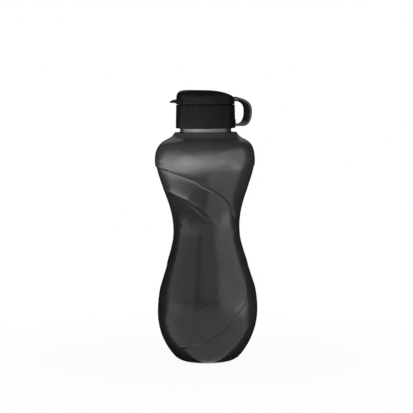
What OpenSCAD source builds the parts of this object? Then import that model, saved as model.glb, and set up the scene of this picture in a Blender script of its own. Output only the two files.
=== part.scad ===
// Squeeze bottle with a screw cap, a hinged flip lid and a carry loop.
// Millimetres. The origin is the centre of the base, +Z is up the bottle,
// the carry loop is on the +X side and the lid's thumb tab on the -X side.

/* [Bottle body] */
// Height of the ledge that the neck stands on
ledge_z = 192; // [180:0.5:205]
// Diameter of the ledge
ledge_d = 52; // [50:0.5:56]
// Diameter of the lower bulge
belly_d = 84; // [74:0.5:92]
// Height of the lower bulge's widest ring
belly_z = 42; // [36:0.5:50]
// Diameter of the waist
waist_d = 55.4; // [48:0.2:66]
// Height of the waist
waist_z = 112; // [104:0.5:120]
// Diameter of the upper bulge
chest_d = 83.6; // [74:0.2:92]
// Height of the upper bulge's widest ring, below the ledge
chest_drop = 23; // [18:0.5:28]
// Diameter of the flat ring that the bottle stands on
foot_d = 41; // [34:0.5:46]
// Diameter of the heel, where the base turns up into the side
heel_d = 53.6; // [50:0.2:58]
// Height of the heel
heel_z = 3.4; // [2:0.2:5]
// Depth of the dish in the base
dish_depth = 3; // [1:0.5:6]
// Thickness of the blown wall
wall = 1.2; // [0.8:0.1:2]

/* [Neck and thread] */
// Diameter of the neck at the root of its thread
neck_d = 42.8; // [40:0.2:44]
// Height of the neck above the ledge
neck_h = 19.4; // [17:0.2:24]
// Thickness of the neck's wall
neck_wall = 1.6; // [1.2:0.1:2]
// Rise of the thread in one turn
thread_lead = 5; // [4:0.5:6]
// Turns of thread on the neck
neck_turns = 1.5; // [1:0.25:2]
// Turns of thread in the collar
collar_turns = 1.25; // [1:0.25:1.5]
// How far a thread stands out of its wall
thread_depth = 1.2; // [0.8:0.1:1.4]
// Width of a thread at its root
thread_root = 2.2; // [1.6:0.1:2.4]
// Width of a thread at its crest
thread_crest = 0.9; // [0.5:0.1:1.2]

/* [Screw collar] */
// Gap between the bottle's ledge and the collar's lower edge
collar_lift = 3.4; // [2:0.2:6]
// Thickness of the collar's skirt, from its bore to its upper edge
skirt_wall = 1.6; // [1.4:0.1:2.4]
// How much wider the collar is at its lower edge
skirt_draft = 1; // [0:0.1:2]
// Thickness of the deck across the collar's top
deck_t = 2; // [1.6:0.1:3]
// Thickness of the ring gasket
seal_t = 1.5; // [1:0.1:2.5]
// Width of the ring gasket
seal_w = 2.7; // [2:0.1:3]

/* [Drinking spout] */
// Outside diameter of the spout at its lip
spout_d = 13; // [11:0.5:16]
// Bore of the spout
spout_bore = 9; // [6:0.5:10]
// Height of the spout above the deck
spout_h = 7; // [5:0.5:7.5]
// Diameter of the flange that holds the spout under the deck
spout_flange_d = 24; // [20:0.5:30]
// Thickness of that flange
spout_flange_t = 1.4; // [1:0.1:2]

/* [Flip lid] */
// How far the lid's side stands in from the collar's upper edge
lid_inset = 0.2; // [0:0.1:1]
// Height of the lid at the crest of its roof
lid_h = 12.4; // [11:0.2:15]
// How far the roof falls from its crest to the hinge
roof_fall = 7.9; // [5:0.1:8.5]
// Distance of the roof's crest from the axis, towards the tab
roof_shift = 10; // [0:0.5:12]
// Radius of the rounded edge round the roof
lid_edge_r = 6.5; // [3:0.5:7]
// Thickness of the lid's wall
lid_wall = 1.6; // [1.2:0.1:2]
// How far the thumb tab stands out of the lid
tab_reach = 6.6; // [4:0.2:8]
// Width of the thumb tab
tab_w = 14; // [10:0.5:18]
// Height of the thumb tab's tip above the lid's lower edge
tab_lift = 1.5; // [1:0.1:4]
// Thickness of the thumb tab at its tip
tab_tip_t = 1.2; // [0.8:0.1:2]

/* [Lid plug] */
// Diameter of the boss that the plug is pushed on
boss_d = 5; // [4:0.2:6]
// Depth that the plug reaches into the spout
plug_depth = 3; // [2:0.2:4]
// Thickness of the plug's flange
plug_flange_t = 1.2; // [0.8:0.1:1.6]

/* [Hinge and carry loop] */
// Width of the loop's band
band_w = 16; // [12:0.5:20]
// Thickness of the loop's band
band_t = 1.8; // [1.6:0.1:3]
// How far the loop reaches out from the collar's upper edge
loop_out = 14.3; // [12:0.1:20]
// Height of the loop's widest point above the collar's lower edge
loop_mid = 13.6; // [10:0.2:16]
// Height of the loop's underside above the collar's lower edge
loop_foot = 1.4; // [1:0.1:4]
// Diameter of the hinge pin
pin_d = 2; // [1.6:0.1:2.4]
// Height of the hinge pin above the lid's lower edge
pin_rise = 4.2; // [4:0.1:5]
// Outside radius of the hinge knuckles
knuckle_r = 2; // [1.8:0.1:2.6]
// Width of the lid's knuckle
knuckle_w = 7.6; // [6:0.2:9]
// Height of the foot pad that joins the loop to the collar
pad_h = 6; // [4:0.2:8]
// Depth of the pocket for the foot pad
pad_t = 0.8; // [0.6:0.1:1.2]
// How far the foot pad stands out of the collar
pad_out = 0.3; // [0.1:0.1:1]
// Radius of the fairing between the foot pad and the band
pad_fairing = 2; // [1:0.25:3]

/* [Clearances] */
// Gap between surfaces that move past each other
gap = 0.3; // [0.2:0.05:0.5]
// Gap of a close fit, all round
fit = 0.05; // [0.02:0.01:0.08]

/* [Hidden] */

round_fn = 96;      // round solids that become true surfaces
curve_steps = 16;   // points along each stretch of an outline
thread_steps = 48;  // rings in one turn of a thread
eps = 0.01;
over = 1;           // how far a cutter passes the surface it cuts

// The body's outline, from the foot up: the lengths of its curve handles
foot_flare = 1;
heel_tilt = 45;
heel_in = 1.5;
heel_up = 8;
belly_fall = 19;
belly_rise = 31;
waist_fall = 22;
waist_rise = 23;
chest_fall = 15;
chest_rise = 10;
// The point where the round shoulder turns into the cove under the ledge
cove_out = 6;
cove_drop = 5.5;
cove_tilt = 23.5;
cove_in = 7;
cove_up = 4.3;
ledge_tilt = 72;
ledge_handle = 1;

chest_z = ledge_z - chest_drop;
neck_top = ledge_z + neck_h;
foot_ring_w = 3;

// The neck's thread starts above the collar's edge, and each thread's ends sink into its wall
thread_start = 6.5;
thread_z = ledge_z + thread_start;
thread_bite = 0.4;
thread_sink = 0.2;
thread_lead_in = thread_steps / 8;

// The collar stands on the gasket, and the gasket on the neck's rim
collar_z = ledge_z + collar_lift;
bore_r = neck_d / 2 + thread_depth + gap;
collar_top_r = bore_r + skirt_wall;
collar_foot_r = collar_top_r + skirt_draft / 2;
collar_round = [1, 0.3];  // width and height of the rounding under the collar's lower edge
collar_bevel = 0.4;
deck_z = neck_top + seal_t;
collar_top = deck_z + deck_t;
seal_r = bore_r - gap;

// The lid closes on the deck
lid_z = collar_top + gap;
lid_r = collar_top_r - lid_inset;
lid_top = lid_z + lid_h;
roof_x = -roof_shift;

// The spout is held between its flange and a bead above the deck
spout_r = spout_d / 2;
spout_neck_r = spout_r + 1;
spout_top = collar_top + spout_h;
spout_bead = 0.8;    // how far the bead stands out of the spout's neck
spout_waist = 0.4;   // how far the spout is drawn in between its lips
spout_lip = [0.6, 1.2, 2];  // depths below the top where the lip is full, starts and ends

// The plug hangs from the lid's boss and closes the spout
plug_flange_z = spout_top + gap;
plug_r = spout_bore / 2 - gap;
plug_z = spout_top - plug_depth;
plug_top = plug_flange_z + plug_flange_t;
plug_nose = [0.6, 1];  // width and height of the plug's tapered nose
plug_bevel = 0.4;
plug_floor_t = 1;
plug_shoulder = 2;     // how far the shoulder over the plug reaches past its boss

// Handles of the thumb tab's upper and lower curves
tab_root_h = 1.7;
tab_run = 3.5;
tab_slope = [1.1, 0.7];
tab_nose = 0.4;
tab_low = 0.7;
tab_low_run = [2.1, 2, 0.9];

// The hinge lies at the lid's back edge
pin_x = lid_r + gap;
pin_z = lid_z + pin_rise;
pin_inset = 0.3;
pin_len = band_w - 2 * pin_inset;
knuckle_gap_r = knuckle_r + gap;

// The radius of the roof's long curve, which brings it down at the hinge
roof_span = pin_x - roof_x;
roof_r = (roof_span * roof_span + roof_fall * roof_fall) / (2 * roof_fall);

// The loop's outline: its places, then the handles of its two curves
loop_reach = collar_top_r + loop_out;
loop_mid_z = collar_z + loop_mid;
loop_foot_z = collar_z + loop_foot;
foot_back = 8;
top_run = 9.5;
top_fall = 2.3;
mid_rise = 8;
mid_fall = 7;
foot_run = 5;
pad_in = collar_top_r - pad_t + fit;
pad_r = collar_foot_r + pad_out;
pad_bevel = 0.4;

// ---------- curves ----------

// Points of a cubic curve from a to d, with b and c as its handles, without its last point
function curve(a, b, c, d) = [
    for (i = [0 : curve_steps - 1])
        let (t = i / curve_steps, u = 1 - t)
        u * u * u * a + 3 * u * u * t * b + 3 * u * t * t * c + t * t * t * d
];

// A line of points moved sideways by d, towards its left
function beside(pts, d) = [
    for (i = [0 : len(pts) - 1])
        let (a = pts[max(i - 1, 0)], b = pts[min(i + 1, len(pts) - 1)], v = (b - a) / norm(b - a))
        pts[i] + d * [-v[1], v[0]]
];

function reversed(pts) = [for (i = [len(pts) - 1 : -1 : 0]) pts[i]];

function polar(d, a) = d * [cos(a), sin(a)];

// Height of the roof's long curve above a point at x
function roof_height(x) = lid_top - roof_r + sqrt(roof_r * roof_r - (x - roof_x) * (x - roof_x));

// ---------- bottle body ----------

function body_outline() =
    let (
        foot = [foot_d / 2, 0],
        heel = [heel_d / 2, heel_z],
        out = polar(1, heel_tilt),
        belly = [belly_d / 2, belly_z],
        waist = [waist_d / 2, waist_z],
        chest = [chest_d / 2, chest_z],
        cove = [ledge_d / 2 + cove_out, ledge_z - cove_drop],
        ledge = [ledge_d / 2, ledge_z],
        in = polar(1, 180 - cove_tilt),
        up = polar(1, 180 - ledge_tilt)
    )
    concat(
        curve(foot, foot + [foot_flare, 0], heel - heel_in * out, heel),
        curve(heel, heel + heel_up * out, belly - [0, belly_fall], belly),
        curve(belly, belly + [0, belly_rise], waist - [0, waist_fall], waist),
        curve(waist, waist + [0, waist_rise], chest - [0, chest_fall], chest),
        curve(chest, chest + [0, chest_rise], cove - cove_in * in, cove),
        curve(cove, cove + cove_up * in, ledge - ledge_handle * up, ledge),
        [ledge]
    );

// Points of the dish, from the axis out to the foot ring
function dish_outline(lift) =
    let (r = foot_d / 2 - foot_ring_w, sag = dish_depth, big = (r * r + sag * sag) / (2 * sag))
    [for (i = [0 : curve_steps])
        let (x = r * i / curve_steps)
        [x, lift + sag - big + sqrt(big * big - x * x)]];

module body_shell() {
    outer = body_outline();
    inner = beside(outer, wall);
    neck_in = neck_d / 2 - neck_wall;
    floor_pts = dish_outline(wall);
    rotate_extrude($fn = round_fn)
        polygon(concat(
            dish_outline(0),
            outer,
            [[neck_d / 2, ledge_z], [neck_d / 2, neck_top], [neck_in, neck_top], [neck_in, ledge_z - wall]],
            reversed([for (p = inner) if (p[1] > wall + eps && p[1] < ledge_z - wall - eps) p]),
            [[foot_d / 2, wall]],
            reversed(floor_pts)
        ));
}

// ---------- threads ----------

// One helical rib. The wall's radius is r, and side is 1 to stand outwards and -1 to stand inwards.
module thread(r, side, z0, turns) {
    n = ceil(turns * thread_steps);
    root = r - side * thread_bite;
    function rise(i) = min(1, min(i, n - i) / thread_lead_in);
    pts = [
        for (i = [0 : n])
            let (
                a = 360 * i / thread_steps,
                z = z0 + thread_lead * i / thread_steps,
                crest = r + side * (thread_depth * rise(i) - thread_sink * (1 - rise(i)))
            )
            for (q = [[root, -thread_root / 2], [crest, -thread_crest / 2],
                      [crest, thread_crest / 2], [root, thread_root / 2]])
                [q[0] * cos(a), q[0] * sin(a), z + q[1]]
    ];
    walls = [
        for (i = [0 : n - 1], k = [0 : 3])
            let (a = 4 * i + k, b = 4 * i + (k + 1) % 4)
            side > 0 ? [a, b, b + 4, a + 4] : [a + 4, b + 4, b, a]
    ];
    ends = side > 0
        ? [[3, 2, 1, 0], [4 * n, 4 * n + 1, 4 * n + 2, 4 * n + 3]]
        : [[0, 1, 2, 3], [4 * n + 3, 4 * n + 2, 4 * n + 1, 4 * n]];
    polyhedron(pts, concat(walls, ends));
}

module bottle_body() {
    color([0.24, 0.24, 0.25]) {
        body_shell();
        thread(neck_d / 2, 1, thread_z, neck_turns);
    }
}

// ---------- cap ----------

module ring(r_out, r_in, h) {
    difference() {
        cylinder(r = r_out, h = h, $fn = round_fn);
        translate([0, 0, -over]) cylinder(r = r_in, h = h + 2 * over, $fn = round_fn);
    }
}

module mouth_seal() {
    color([0.75, 0.75, 0.72])
        translate([0, 0, neck_top])
            ring(seal_r, seal_r - seal_w, seal_t);
}

// Pocket for the foot pad, cut a little larger by extra
module pad_block(extra) {
    translate([0, -band_w / 2 - extra, loop_foot_z - extra])
        cube([loop_reach, band_w + 2 * extra, pad_h + 2 * extra]);
}

module screw_collar() {
    color([0.09, 0.09, 0.1]) {
        difference() {
            rotate_extrude($fn = round_fn)
                polygon([
                    [collar_foot_r - collar_round[0], collar_z],
                    [collar_foot_r - collar_round[1], collar_z + collar_round[1]],
                    [collar_foot_r, collar_z + collar_round[0]],
                    [collar_top_r, collar_top - collar_bevel], [collar_top_r - collar_bevel, collar_top],
                    [spout_neck_r + fit, collar_top], [spout_neck_r + fit, deck_z],
                    [bore_r, deck_z], [bore_r, collar_z]
                ]);
            difference() {
                pad_block(fit);
                cylinder(r = collar_top_r - pad_t, h = lid_top, $fn = round_fn);
            }
        }
        thread(bore_r, -1, thread_z + thread_lead / 2, collar_turns);
    }
}

module drinking_spout() {
    color([0.12, 0.12, 0.13])
        rotate_extrude($fn = round_fn)
            polygon([
                [spout_bore / 2, deck_z - spout_flange_t], [spout_flange_d / 2, deck_z - spout_flange_t],
                [spout_flange_d / 2, deck_z], [spout_neck_r, deck_z],
                [spout_neck_r, collar_top], [spout_neck_r + spout_bead, collar_top],
                [spout_neck_r + spout_bead / 2, collar_top + 1],
                [spout_r - spout_waist, collar_top + 2], [spout_r - spout_waist, spout_top - spout_lip[2]],
                [spout_r, spout_top - spout_lip[1]], [spout_r, spout_top - spout_lip[0]],
                [spout_r - spout_lip[0], spout_top],
                [spout_bore / 2 + gap, spout_top], [spout_bore / 2, spout_top - gap]
            ]);
}

// ---------- flip lid ----------

// Outline of a round lid with radius r and a rounded upper edge
function lid_outline(r, edge, low, high) = concat(
    [[0, low], [r, low]],
    [for (i = [0 : curve_steps]) [r - edge, high - edge] + polar(edge, 90 * i / curve_steps)],
    [[0, high]]
);

// A solid lid, drawn in by inset all round and cut to the roof's long curve
module lid_block(inset, low) {
    intersection() {
        rotate_extrude($fn = round_fn)
            polygon(lid_outline(lid_r - inset, lid_edge_r - inset, low, lid_top - inset));
        translate([roof_x, 0, lid_top - roof_r])
            rotate([90, 0, 0])
                cylinder(r = roof_r - inset, h = 2 * lid_r, center = true, $fn = round_fn);
    }
}

// A bar along the hinge's axis
module hinge_bar(r, w) {
    translate([pin_x, 0, pin_z])
        rotate([90, 0, 0])
            cylinder(r = r, h = w, center = true, $fn = round_fn);
}

// The pair of bars on either side of the hinge, from w_in to w_out across
module hinge_bars(r, w_in, w_out) {
    for (side = [-1, 1])
        translate([0, side * (w_in + w_out) / 4, 0])
            hinge_bar(r, (w_out - w_in) / 2);
}

module tab_outline() {
    root = -(lid_r - lid_wall / 2);
    tip = -(lid_r + tab_reach);
    low_z = lid_z + tab_lift;
    high_z = low_z + tab_tip_t;
    top_root = [root, high_z + tab_root_h];
    low_root = [root, lid_z + tab_low];
    polygon(concat(
        curve(top_root, top_root - [tab_run, 0],
              [tip + tab_nose, high_z] + tab_slope, [tip + tab_nose, high_z]),
        curve([tip + tab_nose, high_z], [tip, high_z - tab_tip_t / 5],
              [tip, low_z + tab_tip_t / 5], [tip + tab_nose, low_z]),
        curve([tip + tab_nose, low_z], [tip + tab_nose + tab_low_run[0], low_z],
              low_root + [-tab_low_run[1], tab_low_run[2]], low_root),
        [low_root]
    ));
}

// The thumb tab, its tip rounded in plan
module thumb_tab() {
    round_r = tab_w;
    intersection() {
        rotate([90, 0, 0])
            linear_extrude(height = tab_w, center = true)
                tab_outline();
        union() {
            translate([-(lid_r + tab_reach) + round_r, 0, lid_z])
                cylinder(r = round_r, h = lid_h, $fn = round_fn);
            translate([-lid_r, -tab_w / 2, lid_z]) cube([lid_r, tab_w, lid_h]);
        }
    }
}

module flip_lid() {
    color([0.09, 0.09, 0.1])
        difference() {
            union() {
                difference() {
                    lid_block(0, lid_z);
                    lid_block(lid_wall, lid_z - over);
                    hinge_bars(knuckle_gap_r, knuckle_w, band_w + 2 * gap);
                    translate([pin_x - knuckle_gap_r, -band_w / 2 - gap, pin_z])
                        cube([lid_edge_r, band_w + 2 * gap, lid_h]);
                }
                hinge_bar(knuckle_r, knuckle_w);
                translate([0, 0, plug_z + plug_floor_t])
                    cylinder(d = boss_d, h = lid_h / 2, $fn = round_fn);
                translate([0, 0, plug_top])
                    cylinder(d = boss_d + 2 * plug_shoulder, h = 1.5 * lid_wall, $fn = round_fn);
                thumb_tab();
            }
            hinge_bar(pin_d / 2 + fit, band_w);
        }
}

module lid_plug() {
    socket_r = boss_d / 2 + fit;
    socket_z = plug_z + plug_floor_t - fit;
    color([0.7, 0.7, 0.68])
        rotate_extrude($fn = round_fn)
            polygon([
                [0, plug_z], [plug_r - plug_nose[0], plug_z], [plug_r, plug_z + plug_nose[1]],
                [plug_r, plug_flange_z], [spout_r - plug_bevel, plug_flange_z],
                [spout_r, plug_flange_z + plug_bevel], [spout_r, plug_top],
                [socket_r, plug_top], [socket_r, socket_z], [0, socket_z]
            ]);
}

// ---------- hinge pin and loop ----------

module hinge_pin() {
    color([0.75, 0.76, 0.78])
        hinge_bar(pin_d / 2, pin_len);
}

// Outside of the loop, from the hinge round to the foot
function loop_outline() =
    let (
        start = [pin_x, pin_z + knuckle_r],
        mid = [loop_reach, loop_mid_z],
        foot = [loop_reach - foot_back, loop_foot_z]
    )
    concat(
        curve(start, start + [top_run, -top_fall], mid + [0, mid_rise], mid),
        curve(mid, mid - [0, mid_fall], foot + [foot_run, 0], foot),
        [foot, [collar_top_r, loop_foot_z]]
    );

// The foot pad, with a fairing that runs out along the band
module loop_pad() {
    fairing_z = loop_foot_z + band_t - fit + pad_fairing;
    top_z = loop_foot_z + pad_h;
    intersection() {
        pad_block(0);
        rotate_extrude($fn = round_fn)
            polygon(concat(
                [[pad_in, loop_foot_z], [pad_r + pad_fairing, loop_foot_z]],
                [for (i = [0 : curve_steps])
                    [pad_r + pad_fairing, fairing_z] - polar(pad_fairing, 90 - 90 * i / curve_steps)],
                [[pad_r, top_z - pad_bevel], [pad_r - pad_bevel, top_z], [pad_in, top_z]]
            ));
    }
}

module carry_loop() {
    outer = loop_outline();
    color([0.1, 0.1, 0.11])
        difference() {
            union() {
                difference() {
                    rotate([90, 0, 0])
                        linear_extrude(height = band_w, center = true)
                            polygon(concat(outer, reversed(beside(outer, -band_t))));
                    cylinder(r = pad_in, h = lid_top, $fn = round_fn);
                    hinge_bar(knuckle_gap_r, knuckle_w + 2 * gap);
                }
                loop_pad();
                hinge_bars(knuckle_r, knuckle_w + 2 * gap, band_w);
            }
            hinge_bar(pin_d / 2 + fit, pin_len + 2 * fit);
        }
}

bottle_body();
mouth_seal();
screw_collar();
drinking_spout();
flip_lid();
lid_plug();
hinge_pin();
carry_loop();
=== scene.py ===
import math
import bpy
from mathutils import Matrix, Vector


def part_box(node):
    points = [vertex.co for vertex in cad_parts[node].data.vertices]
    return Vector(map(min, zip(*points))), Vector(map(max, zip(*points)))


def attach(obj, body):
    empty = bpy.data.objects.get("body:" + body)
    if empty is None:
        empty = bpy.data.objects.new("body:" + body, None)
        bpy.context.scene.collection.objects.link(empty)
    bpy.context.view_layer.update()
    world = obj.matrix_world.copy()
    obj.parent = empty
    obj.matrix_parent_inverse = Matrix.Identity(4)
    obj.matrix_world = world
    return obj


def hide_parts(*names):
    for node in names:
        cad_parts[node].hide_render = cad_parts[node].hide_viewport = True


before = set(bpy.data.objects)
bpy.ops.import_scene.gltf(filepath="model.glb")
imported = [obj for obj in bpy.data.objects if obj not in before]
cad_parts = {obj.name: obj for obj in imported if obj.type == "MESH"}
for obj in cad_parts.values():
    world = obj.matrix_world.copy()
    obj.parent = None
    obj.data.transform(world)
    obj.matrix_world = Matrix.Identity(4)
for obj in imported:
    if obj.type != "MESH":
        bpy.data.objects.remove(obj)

from types import SimpleNamespace

import bmesh
import bpy
import numpy as np
from bpy.props import FloatProperty, FloatVectorProperty, PointerProperty
from mathutils import Matrix, Vector

bl_info = {
    "name": "Squeeze Bottle",
    "version": (1, 0, 0),
    "blender": (4, 5, 0),
    "location": "3D View > Sidebar > Squeeze Bottle",
    "description": "Builds a waisted squeeze bottle with a flip lid and a carry loop round its frame",
    "category": "Add Mesh",
}

MM = 0.001
TAU = 2 * math.pi
# The side that the bottle's front and the camera are on, in degrees round the Z axis
FRONT = 250
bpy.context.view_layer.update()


def top_of(node):
    """Height of a frame node's highest point, in metres."""
    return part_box(node)[1].z


def foot_of(node):
    """Height of a frame node's lowest point, in metres."""
    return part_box(node)[0].z


def linear(hex_colour):
    """An sRGB hex colour, such as "3A3A3C", as linear RGBA."""
    channels = [int(hex_colour[i:i + 2], 16) / 255 for i in (0, 2, 4)]
    return [c / 12.92 if c <= 0.04045 else ((c + 0.055) / 1.055) ** 2.4 for c in channels] + [1.0]


# ---------- sizes and colours ----------

def length_prop(name, description, default):
    """A length property. The default is in metres."""
    return FloatProperty(name=name, description=description, default=default, subtype="DISTANCE",
                         unit="LENGTH")


class BottleSizes(bpy.types.PropertyGroup):
    """Sizes of the blown bottle."""

    ledge_z: length_prop("Ledge height", "Height of the ledge that the neck stands on", 0.192)
    ledge_r: length_prop("Ledge radius", "Radius of the ledge under the neck", 0.026)
    belly_r: length_prop("Belly radius", "Radius of the lower bulge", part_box("bottle_body")[1].x)
    belly_z: length_prop("Belly height", "Height of the lower bulge's widest ring", 0.042)
    waist_r: length_prop("Waist radius", "Radius of the waist", 0.0277)
    waist_z: length_prop("Waist height", "Height of the waist", 0.112)
    chest_r: length_prop("Chest radius", "Radius of the upper bulge", 0.0418)
    chest_z: length_prop("Chest height", "Height of the upper bulge's widest ring", 0.169)
    foot_r: length_prop("Foot radius", "Radius of the flat ring that the bottle stands on", 0.0205)
    heel_r: length_prop("Heel radius", "Radius where the base turns up into the side", 0.0268)
    heel_z: length_prop("Heel height", "Height where the base turns up into the side", 0.0034)
    dish: length_prop("Dish depth", "Depth of the dish in the base", 0.003)
    wall: length_prop("Wall", "Thickness of the blown wall", 0.0012)
    neck_r: length_prop("Neck radius", "Radius of the neck between its threads", 0.0214)
    neck_wall: length_prop("Neck wall", "Thickness of the neck's wall", 0.0016)
    thread_lead: length_prop("Thread lead", "Rise of the thread in one turn", 0.005)
    thread_depth: length_prop("Thread depth", "How far the thread stands out", 0.0012)
    lean: length_prop("Lean", "How far the twisted body's centre line winds off the axis", 0.0008)
    relief: FloatProperty(name="Relief", description="Height of the swirled creases, as a share", default=1.0,
                          min=0.0, max=2.0, subtype="FACTOR")


class CapSizes(bpy.types.PropertyGroup):
    """Sizes of the cap, its lid and its loop."""

    skirt_r: length_prop("Skirt radius", "Radius of the collar at its lower edge",
                         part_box("screw_collar")[1].y)
    draft: length_prop("Draft", "How much narrower the collar is at its upper edge", 0.0005)
    bore_r: length_prop("Bore radius", "Radius inside the collar, between its threads", 0.0229)
    lid_r: length_prop("Lid radius", "Radius of the flip lid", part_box("flip_lid")[1].y)
    lid_wall: length_prop("Lid wall", "Thickness of the lid", 0.0016)
    roof_r: length_prop("Roof radius", "Radius of the roof's long curve", 0.0797)
    roof_shift: length_prop("Roof shift", "How far the roof's crest lies towards the tab", 0.01)
    edge_r: length_prop("Edge radius", "Radius of the rounded edge round the roof", 0.0065)
    tab_w: length_prop("Tab width", "Width of the thumb tab", 0.014)
    band_w: length_prop("Band width", "Width of the carry loop's band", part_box("carry_loop")[1].y * 2)
    band_t: length_prop("Band thickness", "Thickness of the carry loop's band", 0.0018)
    knuckle_r: length_prop("Knuckle radius", "Radius of the hinge knuckles", 0.002)
    knuckle_w: length_prop("Knuckle width", "Width of the lid's knuckle", 0.0076)
    pin_r: length_prop("Pin radius", "Radius of the hinge pin", 0.001)
    pad_z: length_prop("Pad height", "Height of the loop's foot pad above the ground", foot_of("carry_loop"))
    pad_h: length_prop("Pad size", "Height of the loop's foot pad from its lower to its upper edge", 0.006)
    pad_t: length_prop("Pad depth", "Depth of the pocket that holds the foot pad", 0.0008)
    pad_out: length_prop("Pad stand", "How far the foot pad stands out of the collar", 0.0003)
    spout_r: length_prop("Spout radius", "Radius of the spout at its lip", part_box("lid_plug")[1].x)
    spout_bore: length_prop("Spout bore", "Diameter of the bore through the spout", 0.009)
    boss_r: length_prop("Boss radius", "Radius of the boss that the plug is pushed on", 0.0025)
    gap: length_prop("Gap", "Gap between surfaces that move past each other", 0.0003)


def colour_prop(name, description, default):
    """A colour property, from an sRGB hex colour."""
    return FloatVectorProperty(name=name, description=description, default=linear(default), size=4,
                               subtype="COLOR", min=0.0, max=1.0)


class Finishes(bpy.types.PropertyGroup):
    """Colours of the bottle's materials."""

    smoke: colour_prop("Smoke", "Smoky grey of the blown bottle", "262627")
    black: colour_prop("Black", "Black of the moulded cap", "0A0A0B")
    # The loop's black is lighter than the cap's by painted light, standing in for light thrown back onto the
    # loop's inner face; it is not greyed by rubbing.
    painted_bounce_black: colour_prop("Rubbed black", "Black of the loop, greyed by rubbing", "242426")
    soft: colour_prop("Soft", "Milky silicone of the seals", "C9C8C2")
    steel: colour_prop("Steel", "Stainless steel of the pin", "C3C4C6")
    paper: colour_prop("Backdrop", "White of the floor", "F4F4F4")


# ---------- curves and meshes ----------

def in_mm(*groups):
    """The groups' sizes together, as plain numbers in millimetres, with shares left as they are."""
    plain = SimpleNamespace()
    for group in groups:
        for key, prop in group.bl_rna.properties.items():
            if prop.type == "FLOAT":
                value = getattr(group, key)
                setattr(plain, key, value / MM if prop.subtype == "DISTANCE" else value)
    return plain


def cubic(a, b, c, d, steps=24):
    """Points of a cubic curve from a to d, with b and c as its handles, without its last point."""
    t = np.arange(steps)[:, None] / steps
    a, b, c, d = (np.asarray(p, float) for p in (a, b, c, d))
    return (1 - t) ** 3 * a + 3 * (1 - t) ** 2 * t * b + 3 * (1 - t) * t * t * c + t ** 3 * d


def polar(length, degrees):
    """A 2D vector from its length and its angle."""
    return length * np.array([math.cos(math.radians(degrees)), math.sin(math.radians(degrees))])


def rounded(corners, steps=5):
    """A closed outline from corners of (x, z, radius), with each corner rounded by its radius."""
    pts = [np.asarray(c[:2], float) for c in corners]
    made = []
    for i, p in enumerate(pts):
        u, v = pts[i - 1] - p, pts[(i + 1) % len(pts)] - p
        reach = min(corners[i][2], np.linalg.norm(u) / 2.01, np.linalg.norm(v) / 2.01)
        if reach <= 0:
            made.append(p)
            continue
        a = p + u / np.linalg.norm(u) * reach
        b = p + v / np.linalg.norm(v) * reach
        for t in np.linspace(0, 1, steps + 1):
            made.append((1 - t) ** 2 * a + 2 * (1 - t) * t * p + t * t * b)
    return np.array(made)


def even(points, spacing):
    """The same line with points an even distance apart."""
    points = np.asarray(points, float)
    along = np.r_[0, np.cumsum(np.linalg.norm(np.diff(points, axis=0), axis=1))]
    stops = np.linspace(0, along[-1], max(2, round(along[-1] / spacing)) + 1)
    return np.stack([np.interp(stops, along, points[:, k]) for k in range(points.shape[1])], 1)


def left_of(line):
    """The unit normal on the left of a line of 2D points, at each point."""
    slope = np.gradient(line, axis=0)
    slope /= np.linalg.norm(slope, axis=1)[:, None]
    return np.stack([-slope[:, 1], slope[:, 0]], 1)


def smooth_step(x, low, high):
    """Rises from 0 at low to 1 at high."""
    t = np.clip((x - low) / (high - low), 0, 1)
    return t * t * (3 - 2 * t)


def new_object(name, verts, faces, smooth_angle=40):
    """A mesh object from vertices in millimetres, its faces turned outwards."""
    mesh = bpy.data.meshes.new(name)
    mesh.from_pydata((np.asarray(verts) * MM).tolist(), [], faces)
    bm = bmesh.new()
    bm.from_mesh(mesh)
    bmesh.ops.recalc_face_normals(bm, faces=bm.faces)
    bm.to_mesh(mesh)
    bm.free()
    obj = bpy.data.objects.new(name, mesh)
    bpy.context.scene.collection.objects.link(obj)
    return shaded(obj, smooth_angle)


def shaded(obj, smooth_angle):
    """Shades the object smooth, apart from edges sharper than the angle in degrees."""
    obj.data.polygons.foreach_set("use_smooth", [True] * len(obj.data.polygons))
    obj.data.set_sharp_from_angle(angle=math.radians(smooth_angle))
    return obj


def skin(name, rows, closed=False, poles=(), smooth_angle=40):
    """A closed surface over rows of points, each row a closed ring. Rows close onto the first one, end in
    two poles, or are capped with a face at each end."""
    rows = np.asarray(rows, float)
    count, across = rows.shape[:2]
    r, c = np.meshgrid(np.arange(count if closed else count - 1), np.arange(across), indexing="ij")
    r2, c2 = (r + 1) % count, (c + 1) % across
    faces = np.stack([r * across + c, r * across + c2, r2 * across + c2, r2 * across + c], -1)
    faces = faces.reshape(-1, 4).tolist()
    verts = rows.reshape(-1, 3)
    ends = (list(range(across)), [(count - 1) * across + k for k in range(across)])
    if len(poles):
        for pole, end in zip(poles, ends):
            verts = np.vstack([verts, pole])
            faces += [(len(verts) - 1, a, b) for a, b in zip(end, end[1:] + end[:1])]
    elif not closed:
        faces += list(ends)
    return new_object(name, verts, faces, smooth_angle)


def lathe(name, outline, segments, warp=None, smooth_angle=40):
    """Turns an outline of (r, z) round the Z axis. An outline that starts on the axis also ends there, and
    any other one closes. warp(r, z, angle) may give new (x, y, z)."""
    outline = np.asarray(outline, float)
    poled = outline[0, 0] < 1e-6
    body = outline[1:-1] if poled else outline
    a = np.broadcast_to(np.arange(segments) * TAU / segments, (len(body), segments))
    r = np.repeat(body[:, :1], segments, 1)
    z = np.repeat(body[:, 1:], segments, 1)
    rows = np.stack(warp(r, z, a) if warp else (r * np.cos(a), r * np.sin(a), z), -1)
    poles = [(0, 0, outline[0, 1]), (0, 0, outline[-1, 1])] if poled else ()
    return skin(name, rows, closed=not poled, poles=poles, smooth_angle=smooth_angle)


def extruded(name, outlines, widths):
    """A solid along Y, with an outline of (x, z) at each of the widths."""
    rows = [np.stack([line[:, 0], np.full(len(line), y), line[:, 1]], -1)
            for line, y in zip(np.asarray(outlines, float), widths)]
    return skin(name, rows)


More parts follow.
